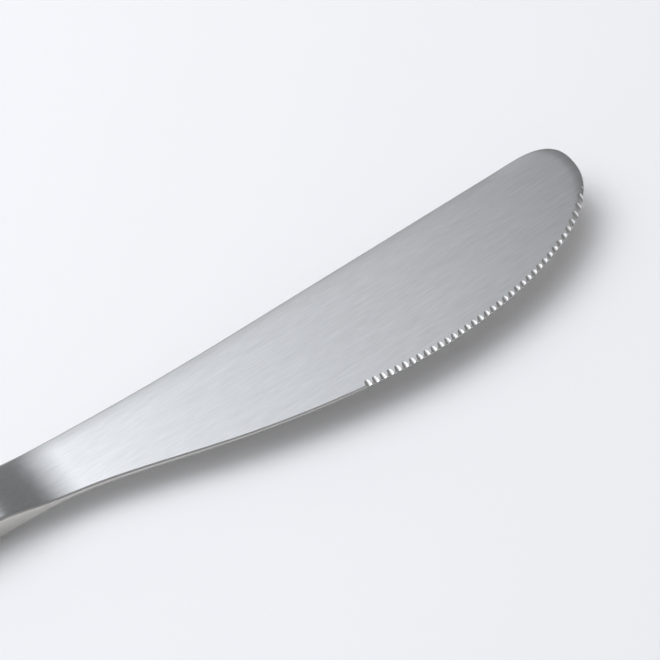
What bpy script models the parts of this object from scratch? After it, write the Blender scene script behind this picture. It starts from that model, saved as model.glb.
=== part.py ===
"""Dessert knife: a serrated blade with a forged neck, brazed into a hollow handle of two pressed shells.

The knife lies on its side along X, with the tip at +X, the spine at +Y and the cutting edge at -Y.
The flat underside of the handle rests on z = 0, and the blade rises from it towards the tip.
"""

import math

import bmesh
import bpy
import numpy as np
from mathutils import Matrix, Vector
from mathutils.geometry import interpolate_bezier

MM = 0.001

# Lengths of the whole knife
OVERALL_LENGTH = 209.0 * MM
FRONT_LENGTH = 114.0 * MM  # from the tip to the shoulder where the handle starts

# Outline of the blade from above: distances back from the tip, drops below the straight spine
BLADE_WIDTH = 20.3 * MM
BELLY_FROM_TIP = 35.4 * MM
NOSE_DROP = 5.5 * MM
NOSE_FLAT = 0.6 * MM
TIP_ROUND = 9.0 * MM
HEEL_FROM_JOINT = 37.1 * MM
HEEL_DROP = 13.4 * MM
HEEL_SLOPE = 0.29
NECK_BEND_LENGTH = 52.0 * MM  # where the spine starts to rise, ahead of the joint
JOINT_SPINE_RISE = 2.4 * MM
JOINT_EDGE_DROP = 7.1 * MM
JOINT_SLOPE = 0.08
BLADE_RISE = math.radians(1.9)  # lifts the tip clear of the table

# How far the outline's curves hold their direction at each of their ends
NOSE_PULL_UP = 5.2 * MM
NOSE_PULL_DOWN = 8.4 * MM
TIP_ROUND_PULL = 3.5 * MM
BELLY_PULL_FRONT = 20.0 * MM
BELLY_PULL_REAR = 6.3 * MM
HEEL_PULL = 20.0 * MM
NECK_PULL_FRONT = 19.0 * MM
NECK_PULL_REAR = 18.0 * MM
JOINT_EDGE_PULL = 18.4 * MM

# Thickness of the blade and of its forged neck
SPINE_THICKNESS_TIP = 1.0 * MM
SPINE_THICKNESS_NECK = 1.7 * MM
EDGE_THICKNESS = 0.5 * MM
NECK_THICKNESS = 5.6 * MM
NECK_WAIST = 0.44 * MM  # how far each side of the neck is drawn in
NECK_CORNER = 0.7 * MM
RAMP_FROM_JOINT = 15.9 * MM  # start of the steep ramp from the blade to the neck
RAMP_LENGTH = 10.5 * MM
SWELL_LENGTH = 6.5 * MM  # growth from the neck to the full handle
SPINE_CORNER = 0.3 * MM
EDGE_CORNER = 0.18 * MM
MOST_CORNER = 0.45  # largest corner radius, as a share of the thickness there

# Serrations: parallel grooves at an even pitch along the knife, pressed into the upper face
GROOVE_COUNT = 38
GROOVE_PITCH = 1.28 * MM
GROOVE_LAND = 0.16 * MM
GROOVE_LENGTH = 1.0 * MM
GROOVE_LEAN = math.radians(9.5)
GROOVES_FROM_TIP = 49.2 * MM  # the rearmost groove
TOOTH_LIP = 0.28 * MM

# Handle of two pressed half shells
HANDLE_THICKNESS = 8.4 * MM
HANDLE_CORNER = 3.0 * MM
HANDLE_WIDTH = 14.6 * MM
BUTT_ROUND = 11.0 * MM
SHELL_WALL = 1.0 * MM
SEAM_GAP = 0.3 * MM
FIT_GAP = 0.25 * MM

# What joins the blade to the handle
BRAZE_RING_WIDTH = 0.5 * MM
SPIGOT_LENGTH = 8.0 * MM
TANG_LENGTH = 30.0 * MM
TANG_WIDTH = 4.2 * MM
TANG_THICKNESS = 2.4 * MM
TANG_CORNER = 0.3 * MM
TANG_HOLE = 2.2 * MM
TANG_HOLE_FROM_END = 5.0 * MM

# Facets
CURVE_STEPS = 60
CORNER_STEPS = 4
TIP_STATIONS = 13
BLADE_STATIONS = 24
NECK_STATIONS = 16
HANDLE_STATIONS = 16
BUTT_STATIONS = 10
GROOVE_SIDES = 28
HOLE_SIDES = 16
SHARP_ANGLE = math.radians(30)

# Places that follow from the sizes above
MID_HEIGHT = HANDLE_THICKNESS / 2
RAMP_START = FRONT_LENGTH - RAMP_FROM_JOINT
SHELL_START = FRONT_LENGTH + FIT_GAP + BRAZE_RING_WIDTH + FIT_GAP
SPIGOT_END = SHELL_START + SPIGOT_LENGTH
TANG_END = SPIGOT_END + TANG_LENGTH
INNER_INSET = SHELL_WALL + FIT_GAP  # from the outside of the handle to what sits in the shells
JOINT_MIDDLE = (JOINT_SPINE_RISE - JOINT_EDGE_DROP) / 2
JOINT_HALF_WIDTH = (JOINT_SPINE_RISE + JOINT_EDGE_DROP) / 2
GROOVE_CUTTER_LENGTH = 4 * GROOVE_LENGTH
THROUGH_CUT = 2 * HANDLE_THICKNESS  # height of a cutter that goes right through

STEEL_BLADE = ("blade_steel", (0.56, 0.57, 0.58), 0.30, 1.0)
STEEL_SHELL = ("handle_steel", (0.58, 0.59, 0.60), 0.32, 1.0)
BRAZE = ("silver_braze", (0.62, 0.60, 0.54), 0.35, 1.0)
FILLER = ("handle_cement", (0.30, 0.27, 0.24), 0.85, 0.0)


def clear_scene():
    for item in list(bpy.data.objects):
        bpy.data.objects.remove(item, do_unlink=True)


def new_collection(name):
    group = bpy.data.collections.new(name)
    bpy.context.scene.collection.children.link(group)
    return group


def new_material(name, colour, roughness, metallic):
    material = bpy.data.materials.new(name)
    material.use_nodes = True
    shader = material.node_tree.nodes["Principled BSDF"]
    shader.inputs["Base Color"].default_value = (*colour, 1.0)
    shader.inputs["Roughness"].default_value = roughness
    shader.inputs["Metallic"].default_value = metallic
    return material


def new_object(name, form, group, finish=None):
    """Turns a bmesh into a named object, with its faces pointing out."""
    bmesh.ops.recalc_face_normals(form, faces=form.faces)
    mesh = bpy.data.meshes.new(name)
    form.to_mesh(mesh)
    form.free()
    mesh.shade_smooth()
    mesh.set_sharp_from_angle(angle=SHARP_ANGLE)
    item = bpy.data.objects.new(name, mesh)
    group.objects.link(item)
    if finish:
        mesh.materials.append(new_material(*finish))
    return item


def cut(item, cutter):
    """Takes the cutter's shape out of the item and hides the cutter."""
    cutter.hide_render = True
    cutter.display_type = "WIRE"
    boolean = item.modifiers.new(cutter.name, "BOOLEAN")
    boolean.operation = "DIFFERENCE"
    boolean.solver = "EXACT"
    boolean.object = cutter


def smooth_step(share):
    share = np.clip(share, 0.0, 1.0)
    return share * share * (3 - 2 * share)


def curve(start, start_pull, end_pull, end):
    """Points of a cubic curve whose two pulls are given from its own ends."""
    knots = (
        Vector(start),
        Vector(start) + Vector(start_pull),
        Vector(end) + Vector(end_pull),
        Vector(end),
    )
    return [tuple(point) for point in interpolate_bezier(*knots, CURVE_STEPS)]


def spine_outline():
    nose = (0.0, NOSE_FLAT / 2 - NOSE_DROP)
    bend = (FRONT_LENGTH - NECK_BEND_LENGTH, 0.0)
    joint = (FRONT_LENGTH, JOINT_SPINE_RISE)
    joint_pull = (-NECK_PULL_REAR, -NECK_PULL_REAR * JOINT_SLOPE)
    tip = curve(nose, (0.0, NOSE_PULL_UP), (-TIP_ROUND_PULL, 0.0), (TIP_ROUND, 0.0))
    neck = curve(bend, (NECK_PULL_FRONT, 0.0), joint_pull, joint)
    return np.array(tip + neck)


def edge_outline():
    nose = (0.0, -NOSE_FLAT / 2 - NOSE_DROP)
    belly = (BELLY_FROM_TIP, -BLADE_WIDTH)
    heel = (FRONT_LENGTH - HEEL_FROM_JOINT, -HEEL_DROP)
    joint = (FRONT_LENGTH, -JOINT_EDGE_DROP)
    heel_pull = Vector((HEEL_PULL, HEEL_PULL * HEEL_SLOPE))
    joint_pull = (-JOINT_EDGE_PULL, -JOINT_EDGE_PULL * JOINT_SLOPE)
    front = curve(nose, (0.0, -NOSE_PULL_DOWN), (-BELLY_PULL_FRONT, 0.0), belly)
    rear = curve(belly, (BELLY_PULL_REAR, 0.0), -heel_pull, heel)
    neck = curve(heel, heel_pull, joint_pull, joint)
    return np.array(front + rear[1:] + neck[1:])


SPINE = spine_outline()
EDGE = edge_outline()


def spine_at(back):
    return np.interp(back, SPINE[:, 0], SPINE[:, 1])


def edge_at(back):
    return np.interp(back, EDGE[:, 0], EDGE[:, 1])


def lift_at(back):
    """How far the blade and neck stand above the middle of the handle."""
    return math.tan(BLADE_RISE) * max(FRONT_LENGTH - back, 0.0)


def handle_middle(back):
    """Centre line of the handle: leaves the neck at its slope and levels off at the butt."""
    reach = back - FRONT_LENGTH
    full = OVERALL_LENGTH - FRONT_LENGTH
    return JOINT_MIDDLE + JOINT_SLOPE * (reach - reach * reach / (2 * full))


def handle_half_width(back):
    share = (back - FRONT_LENGTH) / (OVERALL_LENGTH - BUTT_ROUND - FRONT_LENGTH)
    return JOINT_HALF_WIDTH + (HANDLE_WIDTH / 2 - JOINT_HALF_WIDTH) * smooth_step(share)


def handle_outline(start):
    """Outline of the handle from its mouth on the spine side, round the butt, to the mouth again."""
    butt_start = OVERALL_LENGTH - BUTT_ROUND
    backs = list(np.linspace(start, butt_start, HANDLE_STATIONS))
    widths = [handle_half_width(back) for back in backs]
    for step in range(1, BUTT_STATIONS):
        angle = math.pi / 2 * step / BUTT_STATIONS
        backs.append(butt_start + BUTT_ROUND * math.sin(angle))
        widths.append(HANDLE_WIDTH / 2 * math.cos(angle))
    spine_side = [(b, handle_middle(b) + w) for b, w in zip(backs, widths)]
    edge_side = [(b, handle_middle(b) - w) for b, w in zip(backs, widths)]
    butt = [(OVERALL_LENGTH, handle_middle(OVERALL_LENGTH))]
    return np.array(spine_side + butt + edge_side[::-1])


def inset_outline(outline, inset):
    """Moves an outline inwards, square to itself. Its two ends stay in the plane of the mouth."""
    along = np.gradient(outline, axis=0)
    along /= np.linalg.norm(along, axis=1)[:, None]
    inwards = np.stack([along[:, 1], -along[:, 0]], axis=1)
    inwards[0] = (0.0, -1.0)
    inwards[-1] = (0.0, 1.0)
    return outline + inset * inwards


HANDLE = handle_outline(SHELL_START)
ACROSS_SHIFT = (max(HANDLE[:, 1].max(), 0.0) + min(EDGE[:, 1].min(), HANDLE[:, 1].min())) / 2


def place(back, across, height):
    """A point of the knife from its distance behind the tip and its place across from the spine line."""
    return Vector((OVERALL_LENGTH / 2 - back, across - ACROSS_SHIFT, height))


def section(back, sides, thickness, corners):
    """Ring of points across the knife: a slab from the spine side to the edge side, with rounded corners."""
    spine_side, edge_side = sides
    spine_thick, edge_thick = thickness
    spine_corner = min(corners[0], MOST_CORNER * spine_thick)
    edge_corner = min(corners[1], MOST_CORNER * edge_thick)
    centres = (
        (spine_side - spine_corner, spine_thick / 2 - spine_corner, spine_corner, 0),
        (edge_side + edge_corner, edge_thick / 2 - edge_corner, edge_corner, 1),
        (edge_side + edge_corner, edge_corner - edge_thick / 2, edge_corner, 2),
        (spine_side - spine_corner, spine_corner - spine_thick / 2, spine_corner, 3),
    )
    ring = []
    for across, rise, radius, quarter in centres:
        for step in range(CORNER_STEPS + 1):
            angle = math.pi / 2 * (quarter + step / CORNER_STEPS)
            y = across + radius * math.cos(angle)
            z = MID_HEIGHT + lift_at(back) + rise + radius * math.sin(angle)
            ring.append(place(back, y, z))
    return ring


def wedge_at(back, across):
    """Thickness between the blade's two plane faces, which close in from the spine to the edge."""
    spine_thick = np.interp(back, (0.0, RAMP_START), (SPINE_THICKNESS_TIP, SPINE_THICKNESS_NECK))
    share = np.clip(1 + across / BLADE_WIDTH, 0.0, 1.0)
    return EDGE_THICKNESS + (spine_thick - EDGE_THICKNESS) * share


def blade_section(back):
    """Section of the blade and neck: a thin wedge that thickens over the ramp into the waisted neck."""
    ramp = smooth_step((back - RAMP_START) / RAMP_LENGTH)
    swell = smooth_step((back - FRONT_LENGTH + SWELL_LENGTH) / SWELL_LENGTH)
    waist = NECK_WAIST * ramp * (1 - swell)
    sides = (spine_at(back) - waist, edge_at(back) + waist)
    growth = swell * (HANDLE_THICKNESS - NECK_THICKNESS)
    wedge = [wedge_at(back, across) for across in sides]
    thickness = [thick + ramp * (NECK_THICKNESS - thick) + growth for thick in wedge]
    rounding = swell * (HANDLE_CORNER - NECK_CORNER)
    corners = [corner + ramp * (NECK_CORNER - corner) + rounding for corner in (SPINE_CORNER, EDGE_CORNER)]
    return section(back, sides, thickness, corners)


def handle_section(back, inset):
    """Section of the handle, drawn in on all sides by the inset."""
    middle = handle_middle(back)
    half = handle_half_width(back) - inset
    thick = HANDLE_THICKNESS - 2 * inset
    corner = HANDLE_CORNER - inset
    return section(back, (middle + half, middle - half), (thick, thick), (corner, corner))


def tang_middle(back):
    """Centre line of the tang, straight from the end of the spigot."""
    share = (back - SPIGOT_END) / TANG_LENGTH
    return (1 - share) * handle_middle(SPIGOT_END) + share * handle_middle(TANG_END)


def tang_section(back, clearance):
    """Section of the tang, or of the pocket round it."""
    middle = tang_middle(back)
    half = TANG_WIDTH / 2 + clearance
    thick = TANG_THICKNESS + 2 * clearance
    return section(back, (middle + half, middle - half), (thick, thick), (TANG_CORNER, TANG_CORNER))


def skin(form, rings):
    """Joins a row of closed rings by strips of faces."""
    rows = [[form.verts.new(point) for point in ring] for ring in rings]
    for front, rear in zip(rows, rows[1:]):
        for this in range(len(front)):
            after = (this + 1) % len(front)
            form.faces.new((front[this], front[after], rear[after], rear[this]))
    return rows


def loft(form, rings):
    """A solid through a row of closed rings, with flat ends."""
    rows = skin(form, rings)
    form.faces.new(rows[0])
    form.faces.new(rows[-1])


def blade_stations():
    tip = TIP_ROUND * np.linspace(0.0, 1.0, TIP_STATIONS) ** 2
    middle = np.linspace(TIP_ROUND, RAMP_START, BLADE_STATIONS)
    neck = np.linspace(RAMP_START, FRONT_LENGTH, NECK_STATIONS)
    return np.concatenate((tip, middle[1:], neck[1:]))


def groove_cutter(first, group):
    """Every second one of a row of round-bottomed cutters that slope down to the edge and leave a lip below."""
    form = bmesh.new()
    depth = EDGE_THICKNESS - TOOTH_LIP
    half = (GROOVE_PITCH - GROOVE_LAND) / 2
    radius = (half * half + depth * depth) / (2 * depth)
    dip = math.atan2(depth, GROOVE_LENGTH)
    lean = Vector((-math.sin(GROOVE_LEAN), -math.cos(GROOVE_LEAN), 0.0))
    axis = lean * math.cos(dip) - Vector((0.0, 0.0, math.sin(dip)))
    turn = Vector((0.0, 0.0, 1.0)).rotation_difference(axis).to_matrix().to_4x4()
    bottom = MID_HEIGHT - EDGE_THICKNESS / 2 + TOOTH_LIP
    for count in range(first, GROOVE_COUNT, 2):
        back = GROOVES_FROM_TIP - count * GROOVE_PITCH
        middle = place(back, edge_at(back), bottom + lift_at(back) + radius / math.cos(dip))
        bmesh.ops.create_cone(
            form,
            cap_ends=True,
            segments=GROOVE_SIDES,
            radius1=radius,
            radius2=radius,
            depth=GROOVE_CUTTER_LENGTH,
            matrix=Matrix.Translation(middle) @ turn,
        )
    return new_object(f"groove_cutter_{first}", form, group)


def hole_cutter(group):
    """Keying hole near the end of the tang."""
    form = bmesh.new()
    back = TANG_END - TANG_HOLE_FROM_END
    bmesh.ops.create_cone(
        form,
        cap_ends=True,
        segments=HOLE_SIDES,
        radius1=TANG_HOLE / 2,
        radius2=TANG_HOLE / 2,
        depth=THROUGH_CUT,
        matrix=Matrix.Translation(place(back, tang_middle(back), MID_HEIGHT)),
    )
    return new_object("tang_hole_cutter", form, group)


def blade(group, cutters):
    """Blade, neck, shoulder, spigot and tang, forged in one piece."""
    rings = [blade_section(back) for back in blade_stations()]
    rings += [handle_section(back, INNER_INSET) for back in (FRONT_LENGTH, SPIGOT_END)]
    rings += [tang_section(back, 0.0) for back in (SPIGOT_END, TANG_END)]
    form = bmesh.new()
    loft(form, rings)
    item = new_object("blade", form, group, STEEL_BLADE)
    cut(item, groove_cutter(0, cutters))
    cut(item, groove_cutter(1, cutters))
    cut(item, hole_cutter(cutters))
    return item


def braze_ring(group):
    """Flat ring of braze between the shoulder and the mouth of the two shells."""
    starts = (FRONT_LENGTH + FIT_GAP, FRONT_LENGTH + FIT_GAP + BRAZE_RING_WIDTH)
    rings = [handle_section(back, 0.0) for back in starts]
    form = bmesh.new()
    skin(form, rings)
    item = new_object("braze_ring", form, group, BRAZE)
    wall = item.modifiers.new("ring_depth", "SOLIDIFY")
    wall.thickness = SHELL_WALL
    wall.offset = -1.0
    wall.use_even_offset = True
    return item


def corner_levels(half_thickness, corner, inset):
    """Insets and heights, from the side of the handle up to its flat face."""
    levels = []
    for step in range(CORNER_STEPS + 1):
        angle = math.pi / 2 * step / CORNER_STEPS
        drawn_in = inset + corner * (1 - math.cos(angle))
        levels.append((drawn_in, half_thickness - corner * (1 - math.sin(angle))))
    return levels


def slab(form, outline, levels):
    """Joins copies of an outline, at the given insets and heights, by strips of faces."""
    rows = []
    for inset, height in levels:
        points = inset_outline(outline, inset)
        rows.append([form.verts.new(place(b, a, MID_HEIGHT + height)) for b, a in points])
    for low, high in zip(rows, rows[1:]):
        for this in range(len(low) - 1):
            form.faces.new((low[this], low[this + 1], high[this + 1], high[this]))
    return rows


def flat_face(form, row):
    """Fills an outline with strips from its spine side to its edge side."""
    last = len(row) - 1
    middle = last // 2
    for this in range(middle - 1):
        form.faces.new((row[this], row[this + 1], row[last - this - 1], row[last - this]))
    form.faces.new((row[middle - 1], row[middle], row[middle + 1]))


def handle_shell(name, side, group):
    """Half of the handle: an open pressed surface, with side 1 for the upper and -1 for the lower half."""
    levels = [(0.0, SEAM_GAP / 2)]
    levels += corner_levels(HANDLE_THICKNESS / 2, HANDLE_CORNER, 0.0)
    form = bmesh.new()
    rows = slab(form, HANDLE, [(inset, side * height) for inset, height in levels])
    flat_face(form, rows[-1])
    item = new_object(name, form, group, STEEL_SHELL)
    wall = item.modifiers.new("shell_wall", "SOLIDIFY")
    wall.thickness = SHELL_WALL
    wall.offset = -1.0
    wall.use_even_offset = True
    return item


def pocket_cutter(group):
    """Room for the tang in the filler, open to its mouth."""
    form = bmesh.new()
    ends = (SPIGOT_END - FIT_GAP, TANG_END + FIT_GAP)
    loft(form, [tang_section(back, FIT_GAP) for back in ends])
    return new_object("tang_pocket_cutter", form, group)


def filler(group, cutters):
    """Hard cement that fills the shells behind the spigot and grips the tang."""
    half = HANDLE_THICKNESS / 2 - INNER_INSET
    upper = corner_levels(half, HANDLE_CORNER - INNER_INSET, INNER_INSET)
    levels = [(drawn_in, -height) for drawn_in, height in reversed(upper)] + upper
    form = bmesh.new()
    rows = slab(form, handle_outline(SPIGOT_END + FIT_GAP), levels)
    flat_face(form, rows[0])
    flat_face(form, rows[-1])
    form.faces.new([row[0] for row in rows] + [row[-1] for row in reversed(rows)])
    item = new_object("handle_filler", form, group, FILLER)
    cut(item, pocket_cutter(cutters))
    return item


def build():
    clear_scene()
    parts = new_collection("dessert_knife")
    cutters = new_collection("cutters")
    blade(parts, cutters)
    braze_ring(parts)
    handle_shell("handle_shell_upper", 1, parts)
    handle_shell("handle_shell_lower", -1, parts)
    filler(parts, cutters)


build()
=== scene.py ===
"""Looks of the dessert knife: satin steel blade with bright serrations, brazed to a hollow satin handle.

Lengths are in metres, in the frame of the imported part: tip at +X, spine at +Y, table at z = 0.
"""

import math

import bmesh
import bpy
import numpy as np
from mathutils import Matrix, Vector
from mathutils.geometry import interpolate_bezier


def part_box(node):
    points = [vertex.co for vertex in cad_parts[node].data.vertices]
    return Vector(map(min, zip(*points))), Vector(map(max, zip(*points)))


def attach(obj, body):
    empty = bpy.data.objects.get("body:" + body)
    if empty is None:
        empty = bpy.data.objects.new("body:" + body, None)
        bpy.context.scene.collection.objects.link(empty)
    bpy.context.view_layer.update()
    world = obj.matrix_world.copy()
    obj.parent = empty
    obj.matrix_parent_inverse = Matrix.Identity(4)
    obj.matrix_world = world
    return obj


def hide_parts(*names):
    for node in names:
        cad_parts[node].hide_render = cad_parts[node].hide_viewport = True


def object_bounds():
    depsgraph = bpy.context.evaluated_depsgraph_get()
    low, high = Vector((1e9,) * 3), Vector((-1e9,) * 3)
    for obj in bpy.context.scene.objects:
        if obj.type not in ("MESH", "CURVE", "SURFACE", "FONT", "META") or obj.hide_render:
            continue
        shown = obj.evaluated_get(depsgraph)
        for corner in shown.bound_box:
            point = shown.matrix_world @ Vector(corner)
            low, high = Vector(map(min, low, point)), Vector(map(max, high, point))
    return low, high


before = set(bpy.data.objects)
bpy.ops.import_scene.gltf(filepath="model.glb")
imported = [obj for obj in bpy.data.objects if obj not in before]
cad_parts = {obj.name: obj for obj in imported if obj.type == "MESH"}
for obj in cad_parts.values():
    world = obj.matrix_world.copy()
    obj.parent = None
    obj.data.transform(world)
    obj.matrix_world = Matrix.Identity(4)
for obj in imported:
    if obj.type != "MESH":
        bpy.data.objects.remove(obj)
CAD_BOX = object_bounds()

MM = 0.001

# Lengths of the whole knife
OVERALL_LENGTH = CAD_BOX[1].x - CAD_BOX[0].x
HANDLE_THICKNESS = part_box("handle_shell_upper")[1].z
MID_HEIGHT = HANDLE_THICKNESS / 2
FRONT_LENGTH = 114.0 * MM

# Outline of the blade from above: distances back from the tip, drops below the straight spine
BLADE_WIDTH = 20.3 * MM
BELLY_FROM_TIP = 35.4 * MM
NOSE_DROP = 5.5 * MM
NOSE_FLAT = 0.6 * MM
TIP_ROUND = 9.0 * MM
HEEL_FROM_JOINT = 37.1 * MM
HEEL_DROP = 13.4 * MM
HEEL_SLOPE = 0.29
NECK_BEND_LENGTH = 52.0 * MM
JOINT_SPINE_RISE = 2.4 * MM
JOINT_EDGE_DROP = 7.1 * MM
JOINT_SLOPE = 0.08
BLADE_RISE = math.radians(1.9)  # lifts the tip clear of the table
JOINT_MIDDLE = (JOINT_SPINE_RISE - JOINT_EDGE_DROP) / 2
JOINT_HALF_WIDTH = (JOINT_SPINE_RISE + JOINT_EDGE_DROP) / 2

# How far the outline's curves hold their direction at each of their ends
NOSE_PULL_UP = 5.2 * MM
NOSE_PULL_DOWN = 8.4 * MM
TIP_ROUND_PULL = 3.5 * MM
BELLY_PULL_FRONT = 20.0 * MM
BELLY_PULL_REAR = 6.3 * MM
HEEL_PULL = 20.0 * MM
NECK_PULL_FRONT = 19.0 * MM
NECK_PULL_REAR = 18.0 * MM
JOINT_EDGE_PULL = 18.4 * MM

# Thickness of the blade and of its forged neck
SPINE_THICKNESS_TIP = 1.0 * MM
SPINE_THICKNESS_NECK = 1.7 * MM
EDGE_THICKNESS = 0.5 * MM
NECK_THICKNESS = 5.6 * MM
NECK_WAIST = 0.44 * MM
NECK_CORNER = 0.7 * MM
RAMP_FROM_JOINT = 20.9 * MM
RAMP_START = FRONT_LENGTH - RAMP_FROM_JOINT
RAMP_LENGTH = 15.0 * MM
RAMP_EASE = 1.5  # above 1 the ramp starts more gently than it ends
SWELL_LENGTH = 6.5 * MM
SPINE_CORNER = 0.3 * MM
EDGE_CORNER = 0.4 * MM
MOST_CORNER = 0.47  # of the thickness where the corner is
# Faces that look this squarely to the edge side get the flank's painted warm reflection
FLANK_REFLECTION_FACING = 0.75  # how squarely a face must look to the edge side to count as its flank
SPINE_ROLL_WIDTH = 2.6 * MM
SPINE_ROLL_DEPTH = 0.17 * MM
SPINE_ROLL_START = 2.0 * MM
SPINE_ROLL_FADE = 12.0 * MM
NOSE_ROLL_WIDTH = 2.2 * MM
NOSE_ROLL_DEPTH = 0.065 * MM
NOSE_ROLL_FADE = 9.0 * MM

# Serrations: troughs that widen and deepen from a point on the upper face to the edge
GROOVE_COUNT = 38
GROOVE_PITCH = 1.28 * MM
GROOVE_LAND = 0.04 * MM
GROOVE_LEAN = math.radians(2.0)
GROOVE_FLARE = 0.55  # below 1 the groove starts with a round end, and at 1 with a sharp one
GROOVES_FROM_TIP = 49.2 * MM
TOOTH_LIP = 0.28 * MM
# Where a cutter's rings stand, from 0 at the groove's point to 1 at the edge and on past it
GROOVE_SHARES = (0.03, 0.08, 0.16, 0.28, 0.42, 0.6, 0.8, 1.0, 2.8)
# Lengths and depths change towards the nose: the marks are grooves counted from the rear
GROOVE_MARKS = (0, 31, 34, 36, 37)
GROOVE_LENGTHS = (1.06, 0.80, 1.10, 1.15, 0.80)  # in mm
GROOVE_BITES = (1.0, 0.77, 1.5, 1.55, 1.0)  # shares of the full depth
LAST_WIDTH = 0.35  # width of the groove nearest the nose, as a share of the others'

# Handle and what joins it to the blade
HANDLE_CORNER = 3.0 * MM
HANDLE_WIDTH = 14.6 * MM
BUTT_ROUND = 11.0 * MM
SHELL_WALL = 1.0 * MM
FIT_GAP = 0.25 * MM
BRAZE_RING_WIDTH = 0.5 * MM
SPIGOT_LENGTH = 8.0 * MM
TANG_LENGTH = 30.0 * MM
TANG_WIDTH = 4.2 * MM
TANG_THICKNESS = 2.4 * MM
TANG_CORNER = 0.3 * MM
SHELL_START = FRONT_LENGTH + FIT_GAP + BRAZE_RING_WIDTH + FIT_GAP
SPIGOT_END = SHELL_START + SPIGOT_LENGTH
TANG_END = SPIGOT_END + TANG_LENGTH
INNER_INSET = SHELL_WALL + FIT_GAP
HAIRLINE_SEAM = 0.03 * MM  # what is left to see of a joint that was ground flush
BRUSHING = "brushing"  # UV map that gives the direction of the hairlines

# Facets
CURVE_STEPS = 240
CORNER_STEPS = 8
ACROSS_STEPS = 28
TIP_STATIONS = 44
BLADE_STATIONS = 110
NECK_STATIONS = 60
HANDLE_STATIONS = 64
BUTT_STATIONS = 36
GROOVE_SIDES = 64
SHARP_ANGLE = math.radians(28)


# Outline


def smooth_step(share):
    share = np.clip(share, 0.0, 1.0)
    return share * share * (3 - 2 * share)


def curve(start, start_pull, end_pull, end):
    """Points of a cubic curve whose two pulls are given from its own ends."""
    knots = (
        Vector(start),
        Vector(start) + Vector(start_pull),
        Vector(end) + Vector(end_pull),
        Vector(end),
    )
    return [tuple(point) for point in interpolate_bezier(*knots, CURVE_STEPS)]


def spine_outline():
    nose = (0.0, NOSE_FLAT / 2 - NOSE_DROP)
    bend = (FRONT_LENGTH - NECK_BEND_LENGTH, 0.0)
    joint = (FRONT_LENGTH, JOINT_SPINE_RISE)
    joint_pull = (-NECK_PULL_REAR, -NECK_PULL_REAR * JOINT_SLOPE)
    tip = curve(nose, (0.0, NOSE_PULL_UP), (-TIP_ROUND_PULL, 0.0), (TIP_ROUND, 0.0))
    neck = curve(bend, (NECK_PULL_FRONT, 0.0), joint_pull, joint)
    return np.array(tip + neck)


def edge_outline():
    nose = (0.0, -NOSE_FLAT / 2 - NOSE_DROP)
    belly = (BELLY_FROM_TIP, -BLADE_WIDTH)
    heel = (FRONT_LENGTH - HEEL_FROM_JOINT, -HEEL_DROP)
    joint = (FRONT_LENGTH, -JOINT_EDGE_DROP)
    heel_pull = Vector((HEEL_PULL, HEEL_PULL * HEEL_SLOPE))
    joint_pull = (-JOINT_EDGE_PULL, -JOINT_EDGE_PULL * JOINT_SLOPE)
    front = curve(nose, (0.0, -NOSE_PULL_DOWN), (-BELLY_PULL_FRONT, 0.0), belly)
    rear = curve(belly, (BELLY_PULL_REAR, 0.0), -heel_pull, heel)
    neck = curve(heel, heel_pull, joint_pull, joint)
    return np.array(front + rear[1:] + neck[1:])


SPINE = spine_outline()
EDGE = edge_outline()
# Rim of the front, from the belly round the nose to the spine
NOSE = np.concatenate((EDGE[:CURVE_STEPS][::-1], SPINE[:CURVE_STEPS]))
# The spine line's place in the frame comes from the belly, the part's lowest point in Y
SPINE_LINE = CAD_BOX[0].y + BLADE_WIDTH


def spine_at(back):
    return np.interp(back, SPINE[:, 0], SPINE[:, 1])


def edge_at(back):
    return np.interp(back, EDGE[:, 0], EDGE[:, 1])


def lift_at(back):
    """How far the blade and neck stand above the middle of the handle."""
    return math.tan(BLADE_RISE) * max(FRONT_LENGTH - back, 0.0)


def handle_middle(back):
    """Centre line of the handle: leaves the neck at its slope and levels off at the butt."""
    reach = back - FRONT_LENGTH
    full = OVERALL_LENGTH - FRONT_LENGTH
    return JOINT_MIDDLE + JOINT_SLOPE * (reach - reach * reach / (2 * full))


def handle_half_width(back):
    share = (back - FRONT_LENGTH) / (OVERALL_LENGTH - BUTT_ROUND - FRONT_LENGTH)
    return JOINT_HALF_WIDTH + (HANDLE_WIDTH / 2 - JOINT_HALF_WIDTH) * smooth_step(share)


def place(back, across, height):
    """A point from its distance behind the tip, place across from the spine and height off the middle."""
    return Vector((CAD_BOX[1].x - back, SPINE_LINE + across, MID_HEIGHT + lift_at(back) + height))


# Blade


def ramp_at(back):
    """How far the ramp from the blade to the neck has risen, from 0 to 1."""
    share = np.clip((back - RAMP_START) / RAMP_LENGTH, 0.0, 1.0)
    return smooth_step(share**RAMP_EASE)


def swell_at(back):
    """How far the neck has swollen to the full handle, from 0 to 1."""
    return smooth_step((back - FRONT_LENGTH + SWELL_LENGTH) / SWELL_LENGTH)


def spine_roll(back, across):
    """How far a face rolls down along the spine."""
    roll = 1 - np.clip((spine_at(back) - across) / SPINE_ROLL_WIDTH, 0.0, 1.0)
    return SPINE_ROLL_DEPTH * roll * roll * smooth_step((back - SPINE_ROLL_START) / SPINE_ROLL_FADE)


def nose_roll(back, across):
    """How far a face rolls down round the nose."""
    rim = np.interp(across, NOSE[:, 1], NOSE[:, 0])
    roll = 1 - np.clip((back - rim) / NOSE_ROLL_WIDTH, 0.0, 1.0)
    return NOSE_ROLL_DEPTH * roll * roll * (1 - smooth_step(back / NOSE_ROLL_FADE))


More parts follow.
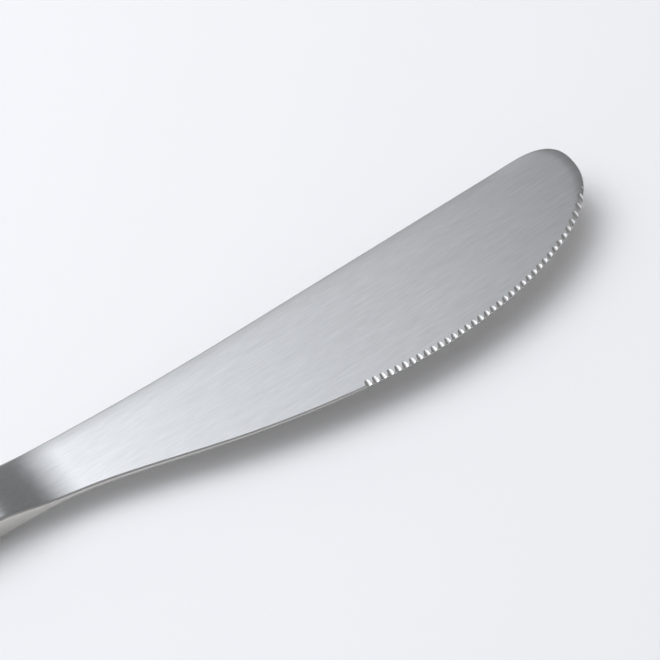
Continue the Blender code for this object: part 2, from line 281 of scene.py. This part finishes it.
def thickness_at(back, across):
    """Thickness of the blade and neck: faces that close towards the edge, then the ramp and the swell."""
    spine = np.interp(back, (0.0, RAMP_START), (SPINE_THICKNESS_TIP, SPINE_THICKNESS_NECK))
    wedge = EDGE_THICKNESS + (spine - EDGE_THICKNESS) * np.clip(1 + across / BLADE_WIDTH, 0.0, 1.0)
    wedge -= 2 * (spine_roll(back, across) + nose_roll(back, across))
    growth = swell_at(back) * (HANDLE_THICKNESS - NECK_THICKNESS)
    return wedge + ramp_at(back) * (NECK_THICKNESS - wedge) + growth


def waist_at(back):
    """How far each side of the neck is drawn in between the blade and the handle."""
    return NECK_WAIST * ramp_at(back) * (1 - swell_at(back))


def corner_at(back, corner):
    """Corner radius of one side: alike on both sides at the nose, and full at the handle."""
    side = EDGE_CORNER + (corner - EDGE_CORNER) * smooth_step(back / TIP_ROUND)
    growth = swell_at(back) * (HANDLE_CORNER - NECK_CORNER)
    return side + ramp_at(back) * (NECK_CORNER - side) + growth


def side_column(point, outwards, corner, thick=None):
    """Points down one side of the blade, from the upper face round two corners to the lower face."""
    corner = min(corner, MOST_CORNER * (thick or thickness_at(*point)))
    outwards = np.array(outwards)
    centre = np.array(point) - corner * outwards
    half = (thick or thickness_at(*centre)) / 2
    column = []
    for side in (1, -1):
        for step in range(CORNER_STEPS + 1):
            share = step / CORNER_STEPS if side == 1 else 1 - step / CORNER_STEPS
            angle = math.pi / 2 * (1 - share)
            back, across = centre + corner * math.cos(angle) * outwards
            rise = half - corner * (1 - math.sin(angle))
            column.append(place(back, across, side * rise))
    return column


def face_row(start, end, side):
    """Points across a face between two of its border points, closer together towards both sides."""
    row = []
    for step in range(1, ACROSS_STEPS):
        share = (1 - math.cos(math.pi * step / ACROSS_STEPS)) / 2
        spot = start.lerp(end, share)
        back = CAD_BOX[1].x - spot.x
        across = spot.y - SPINE_LINE
        row.append(place(back, across, side * thickness_at(back, across) / 2))
    return row


def outwards_of(outline):
    """Unit directions out of an outline that runs from its spine side round the end to its edge side."""
    along = np.empty_like(outline)
    along[1:-1] = outline[2:] - outline[:-2]
    along[0] = outline[1] - outline[0]
    along[-1] = outline[-1] - outline[-2]
    along /= np.linalg.norm(along, axis=1)[:, None]
    return np.stack([along[:, 1], -along[:, 0]], axis=1)


def blade_stations():
    tip = TIP_ROUND * np.linspace(0.0, 1.0, TIP_STATIONS) ** 2
    middle = np.linspace(TIP_ROUND, RAMP_START, BLADE_STATIONS)
    neck = np.linspace(RAMP_START, FRONT_LENGTH, NECK_STATIONS)
    return np.concatenate((tip, middle[1:], neck[1:]))


def closed_ring(spine_column, edge_column):
    upper = face_row(spine_column[0], edge_column[0], 1)
    lower = face_row(edge_column[-1], spine_column[-1], -1)
    return spine_column[::-1] + upper + edge_column + lower


def blade_rings():
    """Closed rings from the nose to the shoulder: spine side, upper face, edge side, lower face."""
    backs = blade_stations()
    spine = np.stack([backs, spine_at(backs) - waist_at(backs)], axis=1)
    edge = np.stack([backs, edge_at(backs) + waist_at(backs)], axis=1)
    outwards = outwards_of(np.concatenate((spine[::-1], edge)))
    count = len(backs)
    rings = []
    for this, back in enumerate(backs):
        columns = []
        for point, normal, corner in (
            (spine[this], outwards[count - 1 - this], SPINE_CORNER),
            (edge[this], outwards[count + this], EDGE_CORNER),
        ):
            columns.append(side_column(point, normal, corner_at(back, corner)))
        rings.append(closed_ring(*columns))
    return rings


def even_row(start, end):
    """Points between two others, evenly spaced."""
    return [start.lerp(end, step / ACROSS_STEPS) for step in range(1, ACROSS_STEPS)]


def plain_ring(back, middle, half, thick, corner):
    """Ring of a straight-sided slab with as many points as the blade's rings."""
    spine = side_column((back, middle + half), (0.0, 1), corner, thick)
    edge = side_column((back, middle - half), (0.0, -1), corner, thick)
    upper = even_row(spine[0], edge[0])
    lower = even_row(edge[-1], spine[-1])
    return spine[::-1] + upper + edge + lower


def tang_rings():
    """Rings of the spigot and the tang, which sit inside the handle."""
    spigot_thick = HANDLE_THICKNESS - 2 * INNER_INSET
    spigot_corner = HANDLE_CORNER - INNER_INSET
    rings = []
    for back in (FRONT_LENGTH, SPIGOT_END):
        half = handle_half_width(back) - INNER_INSET
        rings.append(plain_ring(back, handle_middle(back), half, spigot_thick, spigot_corner))
    for back in (SPIGOT_END, TANG_END):
        rings.append(plain_ring(back, handle_middle(back), TANG_WIDTH / 2, TANG_THICKNESS, TANG_CORNER))
    return rings


def skin(form, rings):
    """Joins a row of closed rings by strips of faces."""
    rows = [[form.verts.new(point) for point in ring] for ring in rings]
    for front, rear in zip(rows, rows[1:]):
        for this in range(len(front)):
            after = (this + 1) % len(front)
            form.faces.new((front[this], front[after], rear[after], rear[this]))
    return rows


def close_nose(form, ring):
    """Fills the nose between its spine side and its edge side, level by level."""
    levels = 2 * (CORNER_STEPS + 1)
    edge_start = levels + ACROSS_STEPS - 1
    edge_end = edge_start + levels
    spine = ring[:levels][::-1]
    upper = ring[levels:edge_start]
    edge = ring[edge_start:edge_end]
    lower = ring[edge_end:]
    form.faces.new([spine[1], spine[0], *upper, edge[0], edge[1]])
    for this in range(1, levels - 2):
        form.faces.new((spine[this], edge[this], edge[this + 1], spine[this + 1]))
    form.faces.new([edge[-2], edge[-1], *lower, spine[-1], spine[-2]])


def new_piece(name, form):
    """Turns a bmesh into an object, with its faces pointing out and its rounded parts shaded smooth."""
    bmesh.ops.recalc_face_normals(form, faces=form.faces)
    mesh = bpy.data.meshes.new(name)
    form.to_mesh(mesh)
    form.free()
    mesh.shade_smooth()
    mesh.set_sharp_from_angle(angle=SHARP_ANGLE)
    item = bpy.data.objects.new(name, mesh)
    bpy.context.scene.collection.objects.link(item)
    return item


def groove_ring(back, share, length, width, bite):
    """Ring of a groove's cutter, at a share of the way from the groove's point to the edge."""
    grown = min(share, 1.0)
    depth = (EDGE_THICKNESS - TOOTH_LIP) * grown * bite
    half = (GROOVE_PITCH - GROOVE_LAND) / 2 * grown**GROOVE_FLARE * width
    radius = (half * half + depth * depth) / (2 * depth)
    run = (share - 1) * length
    ring = []
    for step in range(GROOVE_SIDES):
        angle = math.tau * step / GROOVE_SIDES
        aside = radius * math.cos(angle)
        rise = radius - depth + radius * math.sin(angle)
        spot_back = back + run * math.sin(GROOVE_LEAN) - aside * math.cos(GROOVE_LEAN)
        spot_across = edge_at(back) - run * math.cos(GROOVE_LEAN) - aside * math.sin(GROOVE_LEAN)
        ring.append(place(spot_back, spot_across, EDGE_THICKNESS / 2 + rise))
    return ring


def groove_cutter(first):
    """Every second one of the row of groove cutters, so that none touches the next."""
    form = bmesh.new()
    for count in range(first, GROOVE_COUNT, 2):
        back = GROOVES_FROM_TIP - count * GROOVE_PITCH
        length = np.interp(count, GROOVE_MARKS, GROOVE_LENGTHS) * MM
        width = LAST_WIDTH if count == GROOVE_COUNT - 1 else 1.0
        bite = np.interp(count, GROOVE_MARKS, GROOVE_BITES)
        rings = [groove_ring(back, share, length, width, bite) for share in GROOVE_SHARES]
        rows = skin(form, rings)
        form.faces.new(rows[0])
        form.faces.new(rows[-1])
    return new_piece("groove_cutter", form)


def cut(item, cutter):
    """Takes the cutter's shape out of the item for good. The new faces keep the cutter's material."""
    boolean = item.modifiers.new("cut", "BOOLEAN")
    boolean.operation = "DIFFERENCE"
    boolean.solver = "MANIFOLD"
    boolean.material_mode = "TRANSFER"
    boolean.object = cutter
    graph = bpy.context.evaluated_depsgraph_get()
    mesh = bpy.data.meshes.new_from_object(item.evaluated_get(graph))
    item.modifiers.clear()
    item.data = mesh
    bpy.data.objects.remove(cutter)
    mesh.shade_smooth()
    mesh.set_sharp_from_angle(angle=SHARP_ANGLE)


def sharpen_rims(item, slot):
    """Keeps the shading of the grooves from running over into the faces round them."""
    form = bmesh.new()
    form.from_mesh(item.data)
    for edge in form.edges:
        if len({face.material_index == slot for face in edge.link_faces}) > 1:
            edge.smooth = False
    form.to_mesh(item.data)
    form.free()


def paint_flank_reflection(item, slot):
    """Gives the narrow side along the edge its own rougher finish, whose warm beige tint is a painted
    reflection of the room in front.
    """
    for polygon in item.data.polygons:
        if -polygon.normal.y > FLANK_REFLECTION_FACING:
            polygon.material_index = slot


def lengthwise_uv(item):
    """UV map whose U runs along the knife and whose V runs round it."""
    layer = item.data.uv_layers.new(name=BRUSHING)
    for polygon in item.data.polygons:
        upright = abs(polygon.normal.z) < abs(polygon.normal.y)
        for loop in polygon.loop_indices:
            spot = item.data.vertices[item.data.loops[loop].vertex_index].co
            layer.data[loop].uv = (spot.x, spot.z if upright else spot.y)


def make_blade(steel, flank, bright):
    form = bmesh.new()
    rows = skin(form, blade_rings() + tang_rings())
    close_nose(form, rows[0])
    form.faces.new(rows[-1])
    item = new_piece("blade_satin", form)
    for material in (steel, flank):
        item.data.materials.append(material)
    paint_flank_reflection(item, item.data.materials.find(flank.name))
    for first in (0, 1):
        cutter = groove_cutter(first)
        cutter.data.materials.append(bright)
        cut(item, cutter)
    sharpen_rims(item, item.data.materials.find(bright.name))
    lengthwise_uv(item)
    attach(item, "root")
    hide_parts("blade")


# Handle


def handle_outline(start):
    """Outline of the handle from its mouth on the spine side, round the butt, to the mouth again."""
    butt_start = OVERALL_LENGTH - BUTT_ROUND
    backs = list(np.linspace(start, butt_start, HANDLE_STATIONS))
    widths = [handle_half_width(back) for back in backs]
    for step in range(1, BUTT_STATIONS):
        angle = math.pi / 2 * step / BUTT_STATIONS
        backs.append(butt_start + BUTT_ROUND * math.sin(angle))
        widths.append(HANDLE_WIDTH / 2 * math.cos(angle))
    spine_side = [(back, handle_middle(back) + width) for back, width in zip(backs, widths)]
    edge_side = [(back, handle_middle(back) - width) for back, width in zip(backs, widths)]
    butt = [(OVERALL_LENGTH, handle_middle(OVERALL_LENGTH))]
    return np.array(spine_side + butt + edge_side[::-1])


def inset_outline(outline, inset):
    """Moves an outline inwards, square to itself. Its two ends stay in the plane of the mouth."""
    inwards = outwards_of(outline)
    inwards[0] = (0.0, -1.0)
    inwards[-1] = (0.0, 1.0)
    return outline + inset * inwards


def corner_levels():
    """Insets and heights above the middle, from the seam up to the flat face."""
    levels = [(0.0, HAIRLINE_SEAM / 2)]
    for step in range(CORNER_STEPS + 1):
        angle = math.pi / 2 * step / CORNER_STEPS
        inset = HANDLE_CORNER * (1 - math.cos(angle))
        levels.append((inset, MID_HEIGHT - HANDLE_CORNER * (1 - math.sin(angle))))
    return levels


def flat_face(form, row):
    """Fills an outline with strips from its spine side to its edge side."""
    last = len(row) - 1
    middle = last // 2
    for this in range(middle - 1):
        form.faces.new((row[this], row[this + 1], row[last - this - 1], row[last - this]))
    form.faces.new((row[middle - 1], row[middle], row[middle + 1]))


def shell_form(side):
    """Outer surface of half the handle: side 1 is the upper half and -1 the lower."""
    outline = handle_outline(SHELL_START)
    form = bmesh.new()
    rows = []
    for inset, height in corner_levels():
        points = inset_outline(outline, inset)
        rows.append([form.verts.new(place(back, across, side * height)) for back, across in points])
    for low, high in zip(rows, rows[1:]):
        for this in range(len(low) - 1):
            form.faces.new((low[this], low[this + 1], high[this + 1], high[this]))
    flat_face(form, rows[-1])
    return form


def add_wall(item):
    """Thickens a surface inwards to the wall of the shells."""
    wall = item.modifiers.new("wall", "SOLIDIFY")
    wall.thickness = SHELL_WALL
    wall.offset = -1.0
    wall.use_even_offset = True


def make_shell(node, side, steel):
    item = new_piece(node + "_satin", shell_form(side))
    item.data.materials.append(steel)
    lengthwise_uv(item)
    add_wall(item)
    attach(item, "root")
    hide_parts(node)


def make_braze_ring(braze):
    """Braze between the shoulder and the shells, ground flush with both."""
    form = bmesh.new()
    rings = []
    for back in (FRONT_LENGTH + HAIRLINE_SEAM, SHELL_START - HAIRLINE_SEAM):
        half = handle_half_width(back)
        rings.append(plain_ring(back, handle_middle(back), half, HANDLE_THICKNESS, HANDLE_CORNER))
    skin(form, rings)
    item = new_piece("braze_ring_ground", form)
    item.data.materials.append(braze)
    add_wall(item)
    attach(item, "root")
    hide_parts("braze_ring")


# Materials

# Base colours and roughnesses
BLADE_COLOUR = (0.543, 0.550, 0.547)
BLADE_ROUGHNESS = 0.30
HANDLE_COLOUR = (0.450, 0.456, 0.453)
HANDLE_ROUGHNESS = 0.42
# The flank's warm beige is a painted reflection of a warm room in front of the knife, not the steel's own
# colour
FLANK_REFLECTION_TINT = (0.575, 0.56, 0.535)
FLANK_ROUGHNESS = 0.34
GROOVE_COLOUR = (0.57, 0.565, 0.55)
GROOVE_ROUGHNESS = (0.30, 0.36)
BRAZE_COLOUR = (0.62, 0.60, 0.54)
BRAZE_ROUGHNESS = (0.28, 0.42)
CEMENT_DARK = (0.22, 0.20, 0.18)
CEMENT_PALE = (0.38, 0.35, 0.31)
CEMENT_ROUGHNESS = 0.85

# How much longer highlights are across the brushing than along it, from 0 to 1
BLADE_ANISOTROPY = 0.5
HANDLE_ANISOTROPY = 0.4
FLANK_ANISOTROPY = 0.3
QUARTER_TURN = 0.25

# Grains along X, Y and Z, in features a metre, and how much finer noise they carry
HAIR_GRAIN = (260.0, 4600.0, 4600.0)
STREAK_GRAIN = (60.0, 1000.0, 1000.0)
MARK_GRAIN = (55.0, 80.0, 80.0)
FLECK_GRAIN = (1500.0, 3800.0, 3800.0)
GROOVE_GRAIN = (5000.0, 900.0, 900.0)
BRAZE_GRAIN = (3000.0, 3000.0, 3000.0)
CEMENT_GRAIN = (1800.0, 1800.0, 1800.0)
STEEL_DETAIL = 2.0
FLECK_DETAIL = 0.0
BRAZE_DETAIL = 3.0
CEMENT_DETAIL = 4.0

# Noise values that count, and the factors on colour and roughness that they are spread over
NOISE_RANGE = (0.3, 0.7)
FLECK_RANGE = (0.78, 0.88)
HAIR_TONE = (0.945, 1.055)
STREAK_TONE = (0.98, 1.02)
FLECK_TONE = (1.0, 1.1)
GROOVE_TONE = (0.96, 1.04)
BRAZE_TONE = (0.92, 1.05)
HAIR_WEAR = (0.98, 1.02)
MARK_WEAR = (0.97, 1.03)


def opaque(colour):
    return (*colour, 1.0)


def new_material(name):
    material = bpy.data.materials.new(name)
    material.use_nodes = True
    tree = material.node_tree
    return material, tree, tree.nodes["Principled BSDF"]


def new_metal(name):
    material, tree, shader = new_material(name)
    shader.inputs["Metallic"].default_value = 1.0
    return material, tree, shader


def noise_of(tree, grain, detail):
    """Noise that is stretched by a different grain along X, Y and Z."""
    coordinates = tree.nodes.new("ShaderNodeTexCoord")
    mapping = tree.nodes.new("ShaderNodeMapping")
    mapping.inputs["Scale"].default_value = grain
    noise = tree.nodes.new("ShaderNodeTexNoise")
    noise.inputs["Scale"].default_value = 1.0
    noise.inputs["Detail"].default_value = detail
    tree.links.new(coordinates.outputs["Object"], mapping.inputs["Vector"])
    tree.links.new(mapping.outputs["Vector"], noise.inputs["Vector"])
    return noise.outputs["Fac"]


def spread(tree, value, results, counted=NOISE_RANGE):
    """Maps the range of noise that counts to a range of results."""
    node = tree.nodes.new("ShaderNodeMapRange")
    node.inputs["From Min"].default_value = counted[0]
    node.inputs["From Max"].default_value = counted[1]
    node.inputs["To Min"].default_value = results[0]
    node.inputs["To Max"].default_value = results[1]
    tree.links.new(value, node.inputs["Value"])
    return node.outputs["Result"]


def multiply(tree, one, other):
    """Product of a socket and either another socket or a number."""
    node = tree.nodes.new("ShaderNodeMath")
    node.operation = "MULTIPLY"
    tree.links.new(one, node.inputs[0])
    if isinstance(other, float):
        node.inputs[1].default_value = other
    else:
        tree.links.new(other, node.inputs[1])
    return node.outputs["Value"]


def tint(tree, shader, colour, tone):
    """Sets the base colour to a colour times a tone."""
    node = tree.nodes.new("ShaderNodeMix")
    node.data_type = "RGBA"
    node.blend_type = "MULTIPLY"
    node.inputs["Factor"].default_value = 1.0
    node.inputs["A"].default_value = opaque(colour)
    tree.links.new(tone, node.inputs["B"])
    tree.links.new(node.outputs["Result"], shader.inputs["Base Color"])


def brush_lengthwise(tree, shader, anisotropy):
    """Draws the highlights out across the brushing, which runs along the knife."""
    shader.inputs["Anisotropic"].default_value = anisotropy
    shader.inputs["Anisotropic Rotation"].default_value = QUARTER_TURN
    tangent = tree.nodes.new("ShaderNodeTangent")
    tangent.direction_type = "UV_MAP"
    tangent.uv_map = BRUSHING
    tree.links.new(tangent.outputs["Tangent"], shader.inputs["Tangent"])


def satin_steel(name, colour, roughness, anisotropy):
    """Brushed steel: fine hairlines, broader streaks, faint handling marks and sparse bright flecks."""
    material, tree, shader = new_metal(name)
    brush_lengthwise(tree, shader, anisotropy)
    hairs = noise_of(tree, HAIR_GRAIN, STEEL_DETAIL)
    streaks = noise_of(tree, STREAK_GRAIN, STEEL_DETAIL)
    marks = noise_of(tree, MARK_GRAIN, STEEL_DETAIL)
    flecks = noise_of(tree, FLECK_GRAIN, FLECK_DETAIL)
    tone = multiply(tree, spread(tree, hairs, HAIR_TONE), spread(tree, streaks, STREAK_TONE))
    tone = multiply(tree, tone, spread(tree, flecks, FLECK_TONE, FLECK_RANGE))
    tint(tree, shader, colour, tone)
    wear = multiply(tree, spread(tree, hairs, HAIR_WEAR), spread(tree, marks, MARK_WEAR))
    tree.links.new(multiply(tree, wear, roughness), shader.inputs["Roughness"])
    return material


def bright_steel():
    """Freshly pressed steel inside the serrations, with drag marks instead of hairlines."""
    material, tree, shader = new_metal("bright_steel")
    drag = noise_of(tree, GROOVE_GRAIN, STEEL_DETAIL)
    tint(tree, shader, GROOVE_COLOUR, spread(tree, drag, GROOVE_TONE))
    tree.links.new(spread(tree, drag, GROOVE_ROUGHNESS), shader.inputs["Roughness"])
    return material


def silver_braze():
    """Pale braze with an even grain from grinding."""
    material, tree, shader = new_metal("ground_braze")
    grain = noise_of(tree, BRAZE_GRAIN, BRAZE_DETAIL)
    tint(tree, shader, BRAZE_COLOUR, spread(tree, grain, BRAZE_TONE))
    tree.links.new(spread(tree, grain, BRAZE_ROUGHNESS), shader.inputs["Roughness"])
    return material


def two_colours(tree, share, first, second, second_place=1.0):
    """Ramp from a first colour to a second one, which is reached at its place between 0 and 1."""
    ramp = tree.nodes.new("ShaderNodeValToRGB")
    ramp.color_ramp.elements[0].color = opaque(first)
    ramp.color_ramp.elements[1].color = opaque(second)
    ramp.color_ramp.elements[1].position = second_place
    tree.links.new(share, ramp.inputs["Fac"])
    return ramp.outputs["Color"]


def handle_cement():
    """Gritty hard filler, hidden inside the handle."""
    material, tree, shader = new_material("gritty_cement")
    grit = noise_of(tree, CEMENT_GRAIN, CEMENT_DETAIL)
    tree.links.new(two_colours(tree, grit, CEMENT_DARK, CEMENT_PALE), shader.inputs["Base Color"])
    shader.inputs["Roughness"].default_value = CEMENT_ROUGHNESS
    return material


def finish_filler(cement):
    """The filler keeps its CAD shape and gets a finer material."""
    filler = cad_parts["handle_filler"]
    filler.data.materials.clear()
    filler.data.materials.append(cement)


# Stage, light and camera

FLOOR_SIZE = 4.0
FLOOR_DROP = 0.02 * MM
FLOOR_COLOUR = (0.92, 0.92, 0.92)
FLOOR_ROUGHNESS = 0.9

# Light of a plain studio room, which is bright behind the knife and dimmer on the edge's side
BACK_WALL_LIGHT = (0.98, 0.95, 0.915)
BACK_CEILING_LIGHT = (0.177, 0.179, 0.185)
FRONT_WALL_LIGHT = (0.415, 0.400, 0.383)
FRONT_CEILING_LIGHT = (0.325, 0.328, 0.340)
CEILING_HEIGHT = 0.7  # sine of the angle above the horizon from which the ceiling's light holds
FRONT_REACH = -0.65  # along Y, up to where the front's light holds alone
BACK_REACH = 0.1  # along Y, from where the back's light holds alone

# Round softboxes: azimuth and elevation in degrees, width in metres, power in watts
SOFTBOXES = {
    "key": (217.0, 62.0, 0.65, 3.03),
    "left_panel": (225.0, 62.0, 1.2, 5.00),
    "back_panel": (170.0, 60.0, 0.75, 1.00),
    "top_panel": (130.0, 75.0, 0.45, 0.33),
}
SOFTBOX_DISTANCE = 1.0
SOFTBOX_COLOUR = (0.98, 1.0, 1.06)

# The camera looks at a point on the blade's upper side, from angles to the blade's face
CAMERA_AIM_BACK = 48.507 * MM
CAMERA_AIM_ACROSS = -8.132 * MM
CAMERA_AIM_RISE = 0.48 * MM
CAMERA_DISTANCE = 0.6
CAMERA_AZIMUTH = -35.76  # in degrees
CAMERA_ELEVATION = 60.0  # in degrees
CAMERA_LENS = 216.0  # in mm, as is the sensor
CAMERA_SENSOR = 36.0
CAMERA_NEAREST = 0.01


def make_floor():
    bpy.ops.mesh.primitive_plane_add(size=FLOOR_SIZE, location=(0.0, 0.0, -FLOOR_DROP))
    floor = bpy.context.object
    floor.name = "floor"
    material, _, shader = new_material("pale_floor")
    shader.inputs["Base Color"].default_value = opaque(FLOOR_COLOUR)
    shader.inputs["Roughness"].default_value = FLOOR_ROUGHNESS
    shader.inputs["Specular IOR Level"].default_value = 0.0
    floor.data.materials.append(material)


def direction(azimuth, elevation):
    """Unit vector from angles in degrees: azimuth 0 is -Y, and it turns towards +X."""
    azimuth = math.radians(azimuth)
    elevation = math.radians(elevation)
    flat = math.cos(elevation)
    return Vector((math.sin(azimuth) * flat, -math.cos(azimuth) * flat, math.sin(elevation)))


def make_softbox(name, azimuth, elevation, width, power):
    light = bpy.data.lights.new(name, "AREA")
    light.shape = "DISK"
    light.size = width
    light.energy = power
    light.color = SOFTBOX_COLOUR
    item = bpy.data.objects.new(name, light)
    outwards = direction(azimuth, elevation)
    item.location = outwards * SOFTBOX_DISTANCE
    item.rotation_mode = "QUATERNION"
    item.rotation_quaternion = (-outwards).to_track_quat("-Z", "Y")
    bpy.context.scene.collection.objects.link(item)


def front_to_back(tree, place_along_y):
    """How far a direction has turned from the front of the room to its back, from 0 to 1."""
    node = tree.nodes.new("ShaderNodeMapRange")
    node.interpolation_type = "SMOOTHSTEP"
    node.inputs["From Min"].default_value = FRONT_REACH
    node.inputs["From Max"].default_value = BACK_REACH
    tree.links.new(place_along_y, node.inputs["Value"])
    return node.outputs["Result"]


def make_world():
    """The room's light runs from wall to ceiling, and from the front to the back."""
    world = bpy.data.worlds.new("studio")
    world.use_nodes = True
    bpy.context.scene.world = world
    tree = world.node_tree
    coordinates = tree.nodes.new("ShaderNodeTexCoord")
    axes = tree.nodes.new("ShaderNodeSeparateXYZ")
    tree.links.new(coordinates.outputs["Generated"], axes.inputs["Vector"])
    height = axes.outputs["Z"]
    front = two_colours(tree, height, FRONT_WALL_LIGHT, FRONT_CEILING_LIGHT, CEILING_HEIGHT)
    back = two_colours(tree, height, BACK_WALL_LIGHT, BACK_CEILING_LIGHT, CEILING_HEIGHT)
    room = tree.nodes.new("ShaderNodeMix")
    room.data_type = "RGBA"
    tree.links.new(front_to_back(tree, axes.outputs["Y"]), room.inputs["Factor"])
    tree.links.new(front, room.inputs["A"])
    tree.links.new(back, room.inputs["B"])
    tree.links.new(room.outputs["Result"], tree.nodes["Background"].inputs["Color"])


def make_camera():
    camera = bpy.data.cameras.new("camera")
    camera.lens = CAMERA_LENS
    camera.sensor_width = CAMERA_SENSOR
    camera.clip_start = CAMERA_NEAREST
    item = bpy.data.objects.new("camera", camera)
    aim = Matrix.Translation(place(CAMERA_AIM_BACK, CAMERA_AIM_ACROSS, CAMERA_AIM_RISE))
    rise = Matrix.Rotation(-BLADE_RISE, 4, "Y")
    back = direction(CAMERA_AZIMUTH, CAMERA_ELEVATION)
    retreat = Matrix.Translation(CAMERA_DISTANCE * back)
    facing = (-back).to_track_quat("-Z", "Y").to_matrix().to_4x4()
    item.matrix_world = aim @ rise @ retreat @ facing
    bpy.context.scene.collection.objects.link(item)
    bpy.context.scene.camera = item


def make_knife():
    blade_steel = satin_steel("satin_blade_steel", BLADE_COLOUR, BLADE_ROUGHNESS, BLADE_ANISOTROPY)
    handle_steel = satin_steel("satin_handle_steel", HANDLE_COLOUR, HANDLE_ROUGHNESS, HANDLE_ANISOTROPY)
    # The flank's steel is tinted beige as a painted reflection of the room in front
    flank_steel_painted_reflection = satin_steel("satin_flank_painted_reflection", FLANK_REFLECTION_TINT, FLANK_ROUGHNESS, FLANK_ANISOTROPY)
    make_blade(blade_steel, flank_steel_painted_reflection, bright_steel())
    make_shell("handle_shell_upper", 1, handle_steel)
    make_shell("handle_shell_lower", -1, handle_steel)
    make_braze_ring(silver_braze())
    finish_filler(handle_cement())


def make_studio():
    make_floor()
    make_world()
    for name, setting in SOFTBOXES.items():
        make_softbox(name, *setting)
    make_camera()
    bpy.context.scene.view_settings.view_transform = "Standard"


make_knife()
make_studio()
